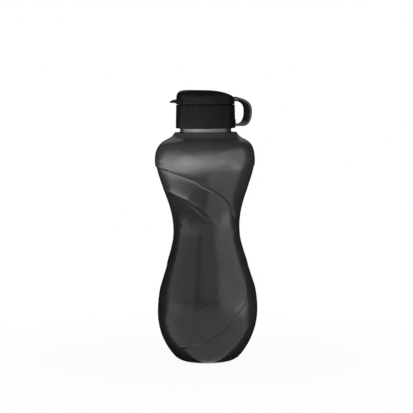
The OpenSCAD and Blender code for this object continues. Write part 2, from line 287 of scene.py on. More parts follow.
def bar(name, x, z, r, width, y=0.0, chamfer=0.15):
    """A round bar along Y, centred on (x, y, z)."""
    segments = 48
    turn = np.arange(segments) * TAU / segments
    rows = []
    for end, radius in ((-width / 2, r - chamfer), (-width / 2 + chamfer, r), (width / 2 - chamfer, r),
                        (width / 2, r - chamfer)):
        rows.append(np.stack([x + radius * np.cos(turn), np.full(segments, y + end),
                              z + radius * np.sin(turn)], -1))
    return skin(name, rows)


def block(name, low, high):
    """A plain box, used to cut with."""
    (x0, y0, z0), (x1, y1, z1) = low, high
    return extruded(name, [[(x0, z0), (x1, z0), (x1, z1), (x0, z1)]] * 2, (y0, y1))


# Solids that are joined or cut pass each other by SLIP, in mm, so that no faces coincide. Faces thinner
# than SLIVER are cleared off their seams, and edges sharper than SEAM_ANGLE degrees are shaded as edges.
SLIP, SLIVER, SEAM_ANGLE = 0.04, 0.002, 35


def combine(obj, *others, operation="UNION"):
    """Joins the others to the object or cuts them from it, and deletes them."""
    for other in others:
        mod = obj.modifiers.new("Combine", "BOOLEAN")
        mod.operation, mod.object, mod.solver = operation, other, "EXACT"
        bpy.context.view_layer.update()
        graph = bpy.context.evaluated_depsgraph_get()
        mesh = bpy.data.meshes.new_from_object(obj.evaluated_get(graph))
        old = obj.data
        obj.modifiers.clear()
        obj.data = mesh
        bpy.data.meshes.remove(old)
        bpy.data.objects.remove(other)
    bm = bmesh.new()
    bm.from_mesh(obj.data)
    bmesh.ops.dissolve_degenerate(bm, edges=bm.edges, dist=SLIVER * MM)
    bm.to_mesh(obj.data)
    bm.free()
    obj.data.name = obj.name
    return shaded(obj, SEAM_ANGLE)


# The thread: its start above the ledge, its width at the root and at the crest, and its turns on the neck
# and in the collar. It rises to its full depth over RUN_IN of a turn at each end.
THREAD_START = 6.5
THREAD_ROOT, THREAD_CREST = 2.2, 0.9
NECK_TURNS, COLLAR_TURNS = 1.5, 1.25
RUN_IN = 0.125


def rib(z, angle, z0, lead, turns, depth):
    """How far a helical thread stands out at a height and an angle, in millimetres."""
    height = np.zeros_like(z)
    for k in range(math.ceil(turns) + 1):
        at = angle / TAU + k
        rise = np.clip(np.minimum(at, turns - at) / RUN_IN, 0, 1)
        off = np.abs(z - (z0 + lead * at))
        flank = np.clip((THREAD_ROOT - 2 * off) / (THREAD_ROOT - THREAD_CREST), 0, 1)
        height = np.maximum(height, depth * rise * flank)
    return height


# ---------- materials ----------

def add_node(tree, kind, inputs=(), **settings):
    """Adds a node with its settings. inputs gives each socket a value, or another node's output."""
    made = tree.nodes.new(kind)
    for key, value in settings.items():
        setattr(made, key, value)
    for key, value in dict(inputs).items():
        if isinstance(value, bpy.types.NodeSocket):
            tree.links.new(value, made.inputs[key])
        else:
            made.inputs[key].default_value = value
    return made


def per_mm(size):
    """The texture scale that gives a pattern of this size in millimetres, on objects in metres."""
    return 1 / (size * MM)


def shade_of(colour, share):
    """The same colour, lighter or darker by a share."""
    return [min(1, c * share) for c in colour[:3]] + [1.0]


def fresh_tree(owner):
    """The empty node tree of a new material or world."""
    owner.use_nodes = True
    owner.node_tree.nodes.clear()
    return owner.node_tree


def new_material(name):
    """A material, its empty node tree and the place on the object, in metres."""
    mat = bpy.data.materials.new(name)
    tree = fresh_tree(mat)
    return mat, tree, add_node(tree, "ShaderNodeTexCoord").outputs["Object"]


def noise(tree, place, size, detail, **inputs):
    """Noise of a size in millimetres."""
    return add_node(tree, "ShaderNodeTexNoise", {"Vector": place, "Scale": per_mm(size), "Detail": detail,
                                                 **inputs}).outputs["Fac"]


def plastic(name, colour, roughness, specular, cloud, grain, depth, spread):
    """A moulded plastic: cloudy colour, uneven gloss and a fine moulded grain. cloud, grain and depth are the
    clouds' size and the grain's size and depth, in millimetres, and spread is how far the colour varies."""
    mat, tree, place = new_material(name)
    clouds = noise(tree, place, cloud, 5.0, Roughness=0.55)
    tint = add_node(tree, "ShaderNodeMapRange", {"Value": clouds, "From Min": 0.3, "From Max": 0.7,
                                                 "To Min": 0.0, "To Max": 1.0})
    mix = add_node(tree, "ShaderNodeMix", {"Factor": tint.outputs["Result"],
                                           "A": shade_of(colour, 1 - spread),
                                           "B": shade_of(colour, 1 + spread)}, data_type="RGBA")
    rubs = noise(tree, place, cloud / 4, 8.0, Roughness=0.7)
    gloss = add_node(tree, "ShaderNodeMapRange", {"Value": rubs, "From Min": 0.25, "From Max": 0.75,
                                                  "To Min": roughness - 0.05, "To Max": roughness + 0.06})
    bump = add_node(tree, "ShaderNodeBump", {"Height": noise(tree, place, grain, 3.0), "Strength": 1.0,
                                             "Distance": depth * MM})
    shader = add_node(tree, "ShaderNodeBsdfPrincipled", {
        "Base Color": mix.outputs["Result"], "Roughness": gloss.outputs["Result"],
        "Normal": bump.outputs["Normal"], "Specular IOR Level": specular})
    add_node(tree, "ShaderNodeOutputMaterial", {"Surface": shader.outputs["BSDF"]})
    return mat


# The materials made so far, each under its finish
MADE = {}


def finish_of(key):
    """The material for a finish, made once."""
    if key in MADE:
        return MADE[key]
    look = bpy.context.scene.bottle_finishes
    if key == "wall":
        # Blow-moulded low-density polyethylene: waxy and soft, so its highlights are broad and dim,
        # and the mould's blasted face leaves a shallow, even ripple. The real ripple is 0.3 mm across, and
        # it is drawn at 1.6 mm so that it shows.
        mat = plastic("LDPE_blow_moulded_satin", look.smoke, roughness=0.24, specular=0.4, cloud=14.0,
                      grain=1.6, depth=0.010, spread=0.06)
    elif key == "cap":
        # Injection-moulded polypropylene: nearly black, with a fine spark-eroded grain and a low sheen. The
        # real grain is 0.1 mm across, and it is drawn at 0.9 mm so that it shows.
        mat = plastic("Polypropylene_injection_moulded_fine_grain", look.black, roughness=0.22,
                      specular=0.02, cloud=9.0, grain=0.9, depth=0.006, spread=0.12)
    elif key == "loop":
        # Injection-moulded polypropylene, polished a little where fingers and straps rub it. Its grain is
        # drawn at 1.2 mm in place of 0.1 mm. Its black is lighter than the cap's by painted light, which
        # stands in for light thrown back onto the loop's inner face.
        mat = plastic("Polypropylene_injection_moulded_rubbed", look.painted_bounce_black, roughness=0.34,
                      specular=0.17, cloud=6.0, grain=1.2, depth=0.005, spread=0.15)
    elif key == "soft":
        # Compression-moulded silicone rubber: milky, with light scattered inside it and a dry, matt skin,
        # whose grain is drawn at 0.8 mm in place of 0.1 mm
        mat = plastic("Silicone_rubber_compression_moulded", look.soft, roughness=0.55, specular=0.4,
                      cloud=5.0, grain=0.8, depth=0.004, spread=0.05)
        shader = next(n for n in mat.node_tree.nodes if n.type == "BSDF_PRINCIPLED")
        shader.inputs["Subsurface Weight"].default_value = 0.35
        shader.inputs["Subsurface Radius"].default_value = (1.0, 0.9, 0.8)
        shader.inputs["Subsurface Scale"].default_value = 1.5 * MM
    else:
        mat = drawn_steel(look.steel)
    MADE[key] = mat
    return mat


def drawn_steel(colour):
    """Stainless steel wire: its die leaves fine bright lines along it."""
    mat, tree, place = new_material("Stainless_steel_drawn_wire")
    # The lines are 0.05 mm wide. They are drawn at 0.2 mm, so that they show.
    along = add_node(tree, "ShaderNodeMapping", {"Vector": place, "Scale": (1.0, 0.02, 1.0)})
    lines = noise(tree, along.outputs["Vector"], 0.2, 4.0)
    gloss = add_node(tree, "ShaderNodeMapRange", {"Value": lines, "To Min": 0.18, "To Max": 0.36})
    mix = add_node(tree, "ShaderNodeMix", {"Factor": lines, "A": shade_of(colour, 0.85),
                                           "B": shade_of(colour, 1.1)}, data_type="RGBA")
    bump = add_node(tree, "ShaderNodeBump", {"Height": lines, "Strength": 1.0, "Distance": 0.004 * MM})
    shader = add_node(tree, "ShaderNodeBsdfPrincipled", {
        "Base Color": mix.outputs["Result"], "Metallic": 1.0, "Roughness": gloss.outputs["Result"],
        "Normal": bump.outputs["Normal"]})
    add_node(tree, "ShaderNodeOutputMaterial", {"Surface": shader.outputs["BSDF"]})
    return mat


# ---------- the blown bottle ----------

# The creases that wind round the body, each as its scoop, reach, groove and points of (degrees from the
# front, height, step), with heights, steps and reach in mm. A step above 0 stands proud on its upper side,
# and one below 0 on its lower or inner side. The other side is sunk by the scoop and rises back over the
# reach, and a fine groove runs along the line; scoop and groove are shares of the step. Each crease repeats
# on the far side.
CREASES = (
    (1.12, 19.0, 0.26, (
        (-100, 163.6, 0), (-84, 163.2, 1.0), (-65, 162.2, 2.2), (-48, 160.9, 3.0), (-36, 158.4, 3.3),
        (-25, 156.0, 3.3), (-14, 153.4, 3.0), (-4, 149.7, 2.5), (8, 146.1, 1.9), (16, 143.3, 1.6),
        (28, 138.9, 1.5), (37, 134.1, 1.5), (46, 129.6, 1.4), (60, 122.1, 1.0), (72, 118.2, 0.6),
        (86, 110, 0.3), (95, 100, 0), (90, 88, -0.3), (80, 80, -1.0), (62, 69.7, -1.6), (56, 61.9, -1.6),
        (52, 53.9, -1.6), (42, 46.3, -1.9), (33, 40.9, -2.2), (19, 30.2, -2.4), (1, 22.5, -2.0),
        (-12, 17.9, -1.2), (-36, 13.8, -0.4), (-50, 12.1, 0))),
    (0.75, 45.0, 0.0, (
        (-80, 142.4, 0), (-54, 140, 1.1), (-39, 136.1, 1.4), (-25, 132.2, 1.3), (-16, 128.5, 1.0),
        (-2, 122, 0.6), (9, 117.5, 0.35), (17, 111.5, 0.2), (21, 104.7, 0.1), (25, 97.3, -0.1),
        (27, 87.7, -0.5), (25, 79.7, -0.6), (22, 72.6, -0.35), (17, 66.3, -0.2), (14, 59.9, -0.15),
        (4, 52, -0.1), (-9, 45.3, -0.1), (-24, 40.6, -0.15), (-40, 35.5, -0.25), (-55, 32.3, -0.6),
        (-72, 31.2, 0))),
    (0.75, 20.0, 0.0, (
        (-84, 122, 0), (-72, 120.3, 0.1), (-51, 116.1, 0.15), (-34, 111, 0.1), (-24, 107, 0))),
)
# A crease's section: the width of its step, the share of the step that stands proud and how far that
# reaches, the curve of its scoop and the width of its groove. Closer to the line than BESIDE, distances are
# measured across it.
STEP_WIDTH = 0.35
PROUD_SHARE, PROUD_REACH = 0.25, 9.0
SUNK_CURVE = 0.75
GROOVE_WIDTH = 0.6
BESIDE = 1.5
# The relief fades in over the first span of heights and out over the second, and so does the lean
RELIEF_IN, RELIEF_OUT = (1, 8), (183, 189)
LEAN_IN, LEAN_OUT = (4, 50), (172, 190)
# The centre line leans towards LEAN_SIDE degrees at the height LEAN_Z, and turns half way round in
# LEAN_HALF of height
LEAN_SIDE, LEAN_Z, LEAN_HALF = 340, 62, 108
# The body's segments and the spacing of its rows
BODY_SEGMENTS, ROW_SPACING = 400, 0.6
# How far in from the foot's radius the flat that it stands on ends, and the dish begins
FOOT_FLAT, FOOT_RING = 2.4, 3


def winding(points, spacing=0.7):
    """A smooth line through the points, evenly spaced."""
    pts = np.asarray(points, float)
    ends = np.vstack([2 * pts[0] - pts[1], pts, 2 * pts[-1] - pts[-2]])
    made = []
    for p0, p1, p2, p3 in zip(ends, ends[1:], ends[2:], ends[3:]):
        made.append(cubic(p1, p1 + (p2 - p0) / 6, p2 - (p3 - p1) / 6, p2, 8))
    return even(np.vstack(made + [pts[-1:]]), spacing)


def nearest(at, path, jump=8):
    """The index of the path's nearest point to each place: a coarse search, then a fine one beside it."""
    def best_of(choices):
        best = np.full(at.shape[:-1], np.inf, np.float32)
        found = np.zeros(at.shape[:-1], int)
        for i in choices:
            gap = ((at - path[i]) ** 2).sum(-1)
            closer = gap < best
            best, found = np.where(closer, gap, best), np.where(closer, i, found)
        return found

    path = path.astype(np.float32)
    last = len(path) - 1
    coarse = best_of(range(0, last + 1, jump))
    return best_of([np.clip(coarse + k, 0, last) for k in range(-jump, jump + 1)])


def crease_relief(x, y, z, radius_at):
    """Height of the creases above the plain body at each point, in millimetres."""
    at = np.stack([x, y, z], -1).astype(np.float32)
    total = np.zeros(x.shape)
    for scoop, reach, groove, points in CREASES:
        line = winding(points)
        for turn in (0, 180):
            a = np.radians(FRONT + turn + line[:, 0])
            r = radius_at(line[:, 1])
            path = np.stack([r * np.cos(a), r * np.sin(a), line[:, 1]], 1)
            along = np.gradient(path, axis=0)
            out = np.stack([np.cos(a), np.sin(a), np.zeros_like(a)], 1)
            left = np.cross(out, along)
            left /= np.linalg.norm(left, axis=1)[:, None]
            near = nearest(at, path)
            height = line[near, 2]
            side = ((at - path[near]) * left[near]).sum(-1)
            far = np.linalg.norm(at - path[near], axis=-1)
            side = np.sign(height) * np.sign(side) * np.where(far < BESIDE, np.abs(side), far)
            height = np.abs(height)
            # The proud side fades out in a curve, and the sunk side rises back in a shallow scoop
            over = 0.5 + 0.5 * np.tanh(side / STEP_WIDTH)
            proud = PROUD_SHARE * np.exp(-(np.maximum(side, 0) / PROUD_REACH) ** 2)
            sunk = scoop * np.clip(1 + np.minimum(side, 0) / reach, 0, 1) ** SUNK_CURVE
            total += height * (over * proud - (1 - over) * sunk)
            total -= height * groove * np.exp(-((side + GROOVE_WIDTH) / GROOVE_WIDTH) ** 2)
    return total


def body_line(s):
    """The body's outline as (r, z), from the foot up to the ledge."""
    foot, heel = np.array([s.foot_r, 0]), np.array([s.heel_r, s.heel_z])
    belly, waist = np.array([s.belly_r, s.belly_z]), np.array([s.waist_r, s.waist_z])
    chest, ledge = np.array([s.chest_r, s.chest_z]), np.array([s.ledge_r, s.ledge_z])
    cove = ledge + (6, -5.5)
    out, into, up = polar(1, 45), polar(1, 156.5), polar(1, 108)
    return np.vstack([
        cubic(foot, foot + (1, 0), heel - 1.5 * out, heel),
        cubic(heel, heel + 8 * out, belly - (0, 19), belly),
        cubic(belly, belly + (0, 31), waist - (0, 22), waist),
        cubic(waist, waist + (0, 23), chest - (0, 15), chest),
        cubic(chest, chest + (0, 10), cove - 7 * into, cove),
        cubic(cove, cove + 4.3 * into, ledge - up, ledge),
        [ledge],
    ])


def make_bottle(s):
    """The blown bottle: its creased wall, its threaded neck and its dished base."""
    line = body_line(s)
    neck_top = foot_of("mouth_seal") / MM
    outer = even(line, ROW_SPACING)
    inner = outer + s.wall * left_of(outer)
    # The inside isn't seen close to, so it keeps one row in three
    inner = inner[(inner[:, 1] > s.wall + 0.3) & (inner[:, 1] < s.ledge_z - s.wall - 0.2)][::-3]
    dish_r = s.foot_r - FOOT_RING
    dish_x = np.linspace(0, dish_r, 12)
    dish_big = (dish_r ** 2 + s.dish ** 2) / (2 * s.dish)
    dish_z = s.dish - dish_big + np.sqrt(dish_big ** 2 - dish_x ** 2)
    dish = np.stack([dish_x, dish_z], 1)
    neck_in = s.neck_r - s.neck_wall
    foot_top = s.ledge_z + 1.5
    foot = cubic((s.neck_r + 0.4, s.ledge_z), (s.neck_r + 0.15, s.ledge_z + 0.05),
                 (s.neck_r, s.ledge_z + 0.2), (s.neck_r, foot_top), 8)
    neck = rounded([(s.neck_r, foot_top, 0), (s.neck_r, neck_top, 0.4), (neck_in, neck_top, 0.4),
                    (neck_in, s.ledge_z - s.wall, 1.0)], 3)
    neck = np.vstack([foot, even(neck[:5], 0.4), neck[5:]])
    outline = np.vstack([dish, [(s.foot_r - FOOT_FLAT, 0)], outer, neck, inner, (dish + (0, s.wall))[::-1]])
    wall_rows = slice(len(dish), len(dish) + len(outer))
    inner_rows = slice(len(outline) - len(dish) - len(inner), len(outline) - len(dish))

    def radius_at(z):
        return np.interp(z, line[:, 1], line[:, 0])

    def warp(r, z, a):
        r = r.copy()
        relief = np.zeros_like(r)
        for rows in (wall_rows, inner_rows):
            rr, zz, aa = r[rows], z[rows], a[rows]
            relief[rows] = s.relief * crease_relief(rr * np.cos(aa), rr * np.sin(aa), zz, radius_at)
        r += relief * smooth_step(z, *RELIEF_IN) * (1 - smooth_step(z, *RELIEF_OUT))
        on_neck = (z > s.ledge_z + 1) & (z < neck_top - 0.5) & (r > neck_in + 0.5)
        thread = rib(z, a, s.ledge_z + THREAD_START, s.thread_lead, NECK_TURNS, s.thread_depth)
        r += np.where(on_neck, thread, 0)
        # The twisted body's centre line winds a little way off the axis
        turn = np.radians(LEAN_SIDE - 180 * (z - LEAN_Z) / LEAN_HALF)
        swing = s.lean * smooth_step(z, *LEAN_IN) * (1 - smooth_step(z, *LEAN_OUT))
        return r * np.cos(a) + swing * np.cos(turn), r * np.sin(a) + swing * np.sin(turn), z

    return lathe("bottle", outline, BODY_SEGMENTS, warp, smooth_angle=180)


# ---------- the cap ----------

# Segments round the collar and the lid, and round the spout and its plug
CAP_SEGMENTS, SPOUT_SEGMENTS = 240, 96


def hinge_place():
    """The hinge axis's x and z, in millimetres."""
    low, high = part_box("hinge_pin")
    return (low.x + high.x) / 2 / MM, (low.z + high.z) / 2 / MM


def make_collar(s):
    """The screw collar: a slightly tapered skirt with a thread inside, and a deck across its top."""
    low, high = foot_of("screw_collar") / MM, top_of("screw_collar") / MM
    deck_z = top_of("mouth_seal") / MM
    outside = rounded([(s.bore_r, low, 0.3), (s.skirt_r - 0.05, low, 1.1), (s.skirt_r - s.draft, high, 0.5),
                       (s.spout_r + 1.05, high, 0.15), (s.spout_r + 1.05, deck_z, 0.1),
                       (s.bore_r, deck_z, 0.0)])
    bore = even([(s.bore_r, deck_z), (s.bore_r, low + 0.3)], 0.4)[1:]
    z0 = s.ledge_z + THREAD_START + s.thread_lead / 2

    def warp(r, z, a):
        inside = (r < s.bore_r + 0.01) & (z < deck_z - 0.2) & (z > low + 0.2)
        r = r - np.where(inside, rib(z, a, z0, s.thread_lead, COLLAR_TURNS, s.thread_depth), 0)
        return r * np.cos(a), r * np.sin(a), z

    collar = lathe("collar", np.vstack([outside, bore]), CAP_SEGMENTS, warp)
    pocket = block("pocket", (0, -s.band_w / 2 - 0.05, s.pad_z - 0.05),
                   (s.skirt_r + 5, s.band_w / 2 + 0.05, s.pad_z + s.pad_h + 0.05))
    core = lathe("core", [(0, s.pad_z - 5), (s.skirt_r - s.draft - s.pad_t, s.pad_z - 5),
                          (s.skirt_r - s.draft - s.pad_t, s.pad_z + 20), (0, s.pad_z + 20)], CAP_SEGMENTS)
    return combine(collar, combine(pocket, core, operation="DIFFERENCE"), operation="DIFFERENCE")


def make_spout(s):
    """The drinking spout: a flange under the deck, a neck through it, and a rounded lip."""
    deck_z, high = top_of("mouth_seal") / MM, top_of("screw_collar") / MM
    top = top_of("drinking_spout") / MM
    flange_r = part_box("drinking_spout")[1].x / MM
    return lathe("spout", rounded([
        (s.spout_bore / 2, deck_z - 1.4, 0.2), (flange_r, deck_z - 1.4, 0.4), (flange_r, deck_z, 0.3),
        (s.spout_r + 1, deck_z, 0.1), (s.spout_r + 1, high, 0.0), (s.spout_r + 1.8, high, 0.2),
        (s.spout_r + 1.2, high + 1.1, 0.5), (s.spout_r - 0.4, high + 2, 0.6),
        (s.spout_r - 0.4, top - 1.9, 0.5), (s.spout_r, top - 1.3, 0.4), (s.spout_r, top, 0.9),
        (s.spout_bore / 2, top, 0.5)]), SPOUT_SEGMENTS)


def make_seal(s):
    """The ring gasket under the deck, with a fine bead round each face."""
    low, high = foot_of("mouth_seal") / MM, top_of("mouth_seal") / MM
    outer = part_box("mouth_seal")[1].x / MM
    inner, mid = outer - 2.7, outer - 1.35
    return lathe("seal", rounded([
        (inner, low, 0.25), (mid - 0.5, low, 0.0), (mid - 0.3, low + 0.1, 0.0), (mid + 0.3, low + 0.1, 0.0),
        (mid + 0.5, low, 0.0), (outer, low, 0.25), (outer, high, 0.25), (mid + 0.5, high, 0.0),
        (mid + 0.3, high - 0.1, 0.0), (mid - 0.3, high - 0.1, 0.0), (mid - 0.5, high, 0.0),
        (inner, high, 0.25)]), 144)


def make_plug(s):
    """The silicone plug: a tapered nose, a flange that lies on the spout's lip, and a socket for the boss."""
    low, high = foot_of("lid_plug") / MM, top_of("lid_plug") / MM
    flange_z = top_of("drinking_spout") / MM + s.gap
    nose_r, socket_r = s.spout_bore / 2 - s.gap, s.boss_r + 0.05
    inside = rounded([(0, low, 0), (nose_r - 0.6, low, 0.5), (nose_r, low + 1, 0.5), (nose_r, flange_z, 0.15),
                      (s.spout_r, flange_z, 0.4), (s.spout_r, high, 0.3), (socket_r, high, 0.1),
                      (socket_r, low + 0.95, 0.1), (0, low + 0.95, 0)])
    return lathe("plug", inside, SPOUT_SEGMENTS)


def smooth_max(a, b, width):
    """The larger of two distances, with the corner between them rounded over a width."""
    share = np.clip(0.5 + 0.5 * (a - b) / width, 0, 1)
    return b + (a - b) * share + width * share * (1 - share)


def lid_skin(s, low, top, inset, segments):
    """Rows of points over the lid's dome, from the middle of its roof down to its lower edge. The dome is a
    round lid with a rounded edge, cut to a long curve from front to back."""
    edge, radius, high = s.edge_r - inset, s.lid_r - inset, top - inset
    arc = [(radius - edge + edge * math.cos(t), high - edge + edge * math.sin(t))
           for t in np.linspace(math.pi / 2, 0, 15)]
    line = even([(0.6, high)] + arc + [(radius, low)], 0.55)
    a = np.arange(segments) * TAU / segments
    aim = np.stack([line[:, 0], line[:, 1] - low], 1)
    aim /= np.linalg.norm(aim, axis=1)[:, None]
    # Each ray's reach is halved in on the skin, which is less than 60 mm away
    near, far = np.zeros((len(line), segments)), np.full((len(line), segments), 60.0)
    for _ in range(40):
        reach = (near + far) / 2
        r, z = aim[:, :1] * reach, low + aim[:, 1:] * reach
        x = r * np.cos(a)
        out_r, out_z = r - (radius - edge), z - (high - edge)
        side = np.hypot(np.maximum(out_r, 0), np.maximum(out_z, 0)) + np.minimum(np.maximum(out_r, out_z), 0)
        roof = np.hypot(x + s.roof_shift, z - (top - s.roof_r)) - (s.roof_r - inset)
        outside = smooth_max(side - edge, roof, 1.4) > 0
        near, far = np.where(outside, near, reach), np.where(outside, reach, far)
    return np.stack([r * np.cos(a), r * np.sin(a), z], -1)


def make_tab(s, low):
    """The thumb tab: a thin blade that sweeps out of the lid's side and rounds off at its tip."""
    root, reach = -(s.lid_r - s.lid_wall / 2), -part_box("flip_lid")[0].x / MM
    thin, lift, nose = 1.2, low + 1.5, 0.4
    half, rows, widths = s.tab_w / 2, [], []
    for t in np.linspace(-1, 1, 33):
        y = half * math.sin(t * math.pi / 2)
        tip = -reach + s.tab_w - math.sqrt(s.tab_w ** 2 - y * y)
        high = lift + thin
        outline = np.vstack([
            cubic((root, high + 1.7), (root - 3.5, high + 1.7), (tip + nose + 1.1, high + 0.7),
                  (tip + nose, high), 12),
            cubic((tip + nose, high), (tip, high - 0.3), (tip, lift + 0.3), (tip + nose, lift), 6),
            cubic((tip + nose, lift), (tip + nose + 2.1, lift), (root - 2, low + 1.6), (root, low + 0.7), 12),
            [(root, low + 0.7)]])
        mid = np.interp(outline[:, 0], [tip, root], [lift + thin / 2, low + 2.8])
        edge = min(1, (half - abs(y)) / 0.5)
        outline[:, 1] = mid + (outline[:, 1] - mid) * math.sqrt(max(0.02, edge * (2 - edge)))
        rows.append(outline)
        widths.append(y)
    return extruded("tab", rows, widths)


def make_lid(s):
    """The flip lid: a hollow dome with a thumb tab in front, a hinge knuckle behind and a boss for its
    plug."""
    low, top = foot_of("flip_lid") / MM, top_of("flip_lid") / MM
    pin_x, pin_z = hinge_place()
    outer = lid_skin(s, low, top, 0, CAP_SEGMENTS)
    inner = lid_skin(s, low, top, s.lid_wall, CAP_SEGMENTS)[::-1]
    foot = outer[-1:] * [1, 1, 0] * (1 - 0.35 / s.lid_r) + [0, 0, low]
    outer[-1:, :, 2] += 0.35
    poles = [(0, 0, outer[0, :, 2].mean()), (0, 0, inner[-1, :, 2].mean())]
    lid = skin("lid", np.vstack([outer, foot, inner]), poles=poles)
    cutters = [block("notch", (pin_x - s.knuckle_r - s.gap - SLIP, -s.band_w / 2 - s.gap, pin_z),
                     (pin_x + 5, s.band_w / 2 + s.gap, top))]
    side_w = (s.band_w + 2 * s.gap - s.knuckle_w) / 2 + 2 * SLIP
    for side in (-1, 1):
        cutters.append(bar("notch", pin_x, pin_z, s.knuckle_r + s.gap, side_w,
                           side * (s.knuckle_w - 2 * SLIP + side_w) / 2, chamfer=0.0))
    combine(lid, *cutters, operation="DIFFERENCE")
    plug_low, plug_top = foot_of("lid_plug") / MM, top_of("lid_plug") / MM
    boss = lathe("boss", [(0, plug_low + 1), (s.boss_r, plug_low + 1), (s.boss_r, plug_top),
                          (s.boss_r + 2, plug_top), (s.boss_r + 2, plug_top + 2.4), (0, plug_top + 2.4)], 64)
    combine(lid, bar("knuckle", pin_x, pin_z, s.knuckle_r, s.knuckle_w), boss, make_tab(s, low))
    return combine(lid, bar("bore", pin_x, pin_z, s.pin_r + 0.05, s.band_w, chamfer=0.0),
                   operation="DIFFERENCE")


def make_pin(s):
    """The hinge pin, with its ends rounded over."""
    low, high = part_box("hinge_pin")
    pin_x, pin_z = hinge_place()
    return bar("pin", pin_x, pin_z, s.pin_r, (high.y - low.y) / MM, chamfer=0.25)


def make_loop(s):
    """The carry loop: a band from the hinge's outer knuckles round to a pad in the collar's side."""
    pin_x, pin_z = hinge_place()
    reach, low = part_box("carry_loop")[1].x / MM, foot_of("carry_loop") / MM
    start, mid = np.array([pin_x, pin_z + s.knuckle_r]), np.array([reach, low + 12.2])
    foot, core_r = np.array([reach - 8, low]), s.skirt_r - s.draft - s.pad_t + 0.05
    outer = np.vstack([
        cubic(start, start + (9.5, -2.3), mid + (0, 8), mid),
        cubic(mid, mid - (0, 7), foot + (5, 0), foot),
        [foot, (core_r - 0.6, low)]])
    outer = even(outer, 0.45)
    half_w, soft = s.band_w / 2, 0.55
    section = rounded([(-half_w, 0, soft), (half_w, 0, soft), (half_w, s.band_t, soft),
                       (-half_w, s.band_t, soft)], 4)
    rows = []
    for p, out in zip(outer, left_of(outer)):
        at = p - out * section[:, 1:]
        rows.append(np.stack([at[:, 0], section[:, 0], at[:, 1]], -1))
    loop = skin("loop", rows)
    cut = lathe("cut", [(0, low - 5), (core_r, low - 5), (core_r, top_of("flip_lid") / MM),
                        (0, top_of("flip_lid") / MM)], 192)
    combine(loop, cut, bar("cut", pin_x, pin_z, s.knuckle_r + s.gap, s.knuckle_w + 2 * s.gap, chamfer=0.0),
            operation="DIFFERENCE")
    pad_r, fair = s.skirt_r + s.pad_out, 2.0
    fair_z, pad_top = low + s.band_t + fair, low + s.pad_h
    arc = [(pad_r + fair - fair * math.cos(t), fair_z - fair * math.sin(t))
           for t in np.linspace(math.pi / 2, 0, 9)]
    profile = rounded([(core_r, low + 0.2, 0), (pad_r + fair, low + 0.2, 0)] + [(x, z, 0) for x, z in arc]
                      + [(pad_r, pad_top, 0.5), (core_r, pad_top, 0)])
    pad = lathe("pad", profile, CAP_SEGMENTS)
    side = combine(block("side", (1, -half_w + 0.02, low - 1), (reach, half_w - 0.02, pad_top + 1)), pad,
                   operation="INTERSECT")
    bar_w = half_w - s.knuckle_w / 2 - s.gap
    bar_y = s.knuckle_w / 2 + s.gap + bar_w / 2
    knuckles = [bar("knuckle", pin_x, pin_z, s.knuckle_r, bar_w, sign * bar_y) for sign in (-1, 1)]
    combine(loop, side, *knuckles)
    low_y, high_y = (corner.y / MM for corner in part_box("hinge_pin"))
    return combine(loop, bar("bore", pin_x, pin_z, s.pin_r + 0.05, high_y - low_y + 0.1, chamfer=0.0),
                   operation="DIFFERENCE")


# ---------- the stage ----------

# The camera's place, what it looks at, its tilt in degrees, its lens and sensor in mm, and its shift
CAMERA_PLACE, CAMERA_AIM, CAMERA_ROLL = (-0.4788, -1.3156, 0.238), (0, 0, 0.113), -0.40
CAMERA_LENS, CAMERA_SENSOR, CAMERA_SHIFT = 145.86, 36, (0.0005, 0.0480)
# The point that the soft boxes are aimed at
AIM = (0, 0, 0.12)
# How strongly the room lights the bottle, where the white that is seen behind it is 1
ROOM_STRENGTH = 0.35
# The floor's shadowed patch: the radius of its even middle and of its edge, in metres, and how white its
# middle is
PATCH_MIDDLE, PATCH_EDGE, PATCH_WHITE = 0.05, 0.3, 0.94
# Soft boxes as (name, degrees from the camera's side, distance, height, (width, height), watts)
SOFT_BOXES = (
    ("soft_box_left", -69, 1.0, 0.33, (1.67, 0.8), 3.4),
    ("soft_box_front", 0, 1.2, 0.6, (0.95, 0.9), 2.06),
    ("soft_box_right", 65, 1.0, 0.33, (1.67, 0.8), 5.77),
    ("soft_box_right_inner", 48, 1.2, 0.3, (0.6, 0.7), 0.44),
    ("soft_box_back", 180, 1.2, 0.9, (1.2, 0.8), 1.2),
    ("strip_low_right", 78, 0.5, 0.03, (0.3, 0.05), 0.12),
    ("strip_low_left", -78, 0.5, 0.04, (0.3, 0.06), 0.04),
)
# Flags as rings of (distance, height, opening from, opening to). Each flag is a dark sheet seen only in
# reflections, so it paints dark reflections. The table's flag leaves the white floor open in front of the
# bottle, and its inner rings paint the floor's shadow round the foot into reflections; the waist's flag hides
# part of it from the waist alone.
FLAG_TENT = ((2.4, 0.0, 0, 0), (2.4, 2.2, 0, 0), (0.02, 2.2, 0, 0))
FLAG_TABLE = ((0.0215, 0.001, 0, 0), (0.028, 0.001, -22, 30), (0.038, 0.001, -44, 50),
              (0.055, 0.001, -74, 72), (0.09, 0.001, -92, 88), (0.22, 0.001, -105, 92),
              (2.4, 0.001, -100, 88))
FLAG_WAIST = ((0.115, 0.06, 5, 260), (0.27, 0.06, 10, 260))
# Sloped cards as (name, degrees from the camera's side, near edge, far edge, width, watts), with each edge
# a distance and a height
CARD_LOW, CARD_MID, CARD_HIGH = (((0.13, 0.12), (0.55, 0.175)), ((0.13, 0.16), (0.55, 0.32)),
                                 ((0.11, 0.19), (0.42, 0.37)))
CARDS = (
    ("card_low_left", -60, CARD_LOW, 0.55, 1.9),
    ("card_low_front", -15, CARD_LOW, 0.4, 0.98),
    ("card_low_right", 40, CARD_LOW, 0.45, 0.7),
    ("card_mid_left", -60, CARD_MID, 0.5, 1.6),
    ("card_mid_front", -15, CARD_MID, 0.45, 1.65),
    ("card_mid_right", 42, CARD_MID, 0.45, 0.46),
    ("card_high_left", -60, CARD_HIGH, 0.45, 0.2),
    ("card_high_front", -10, CARD_HIGH, 0.45, 0.36),
    ("card_high_right", 45, CARD_HIGH, 0.4, 0.2),
)


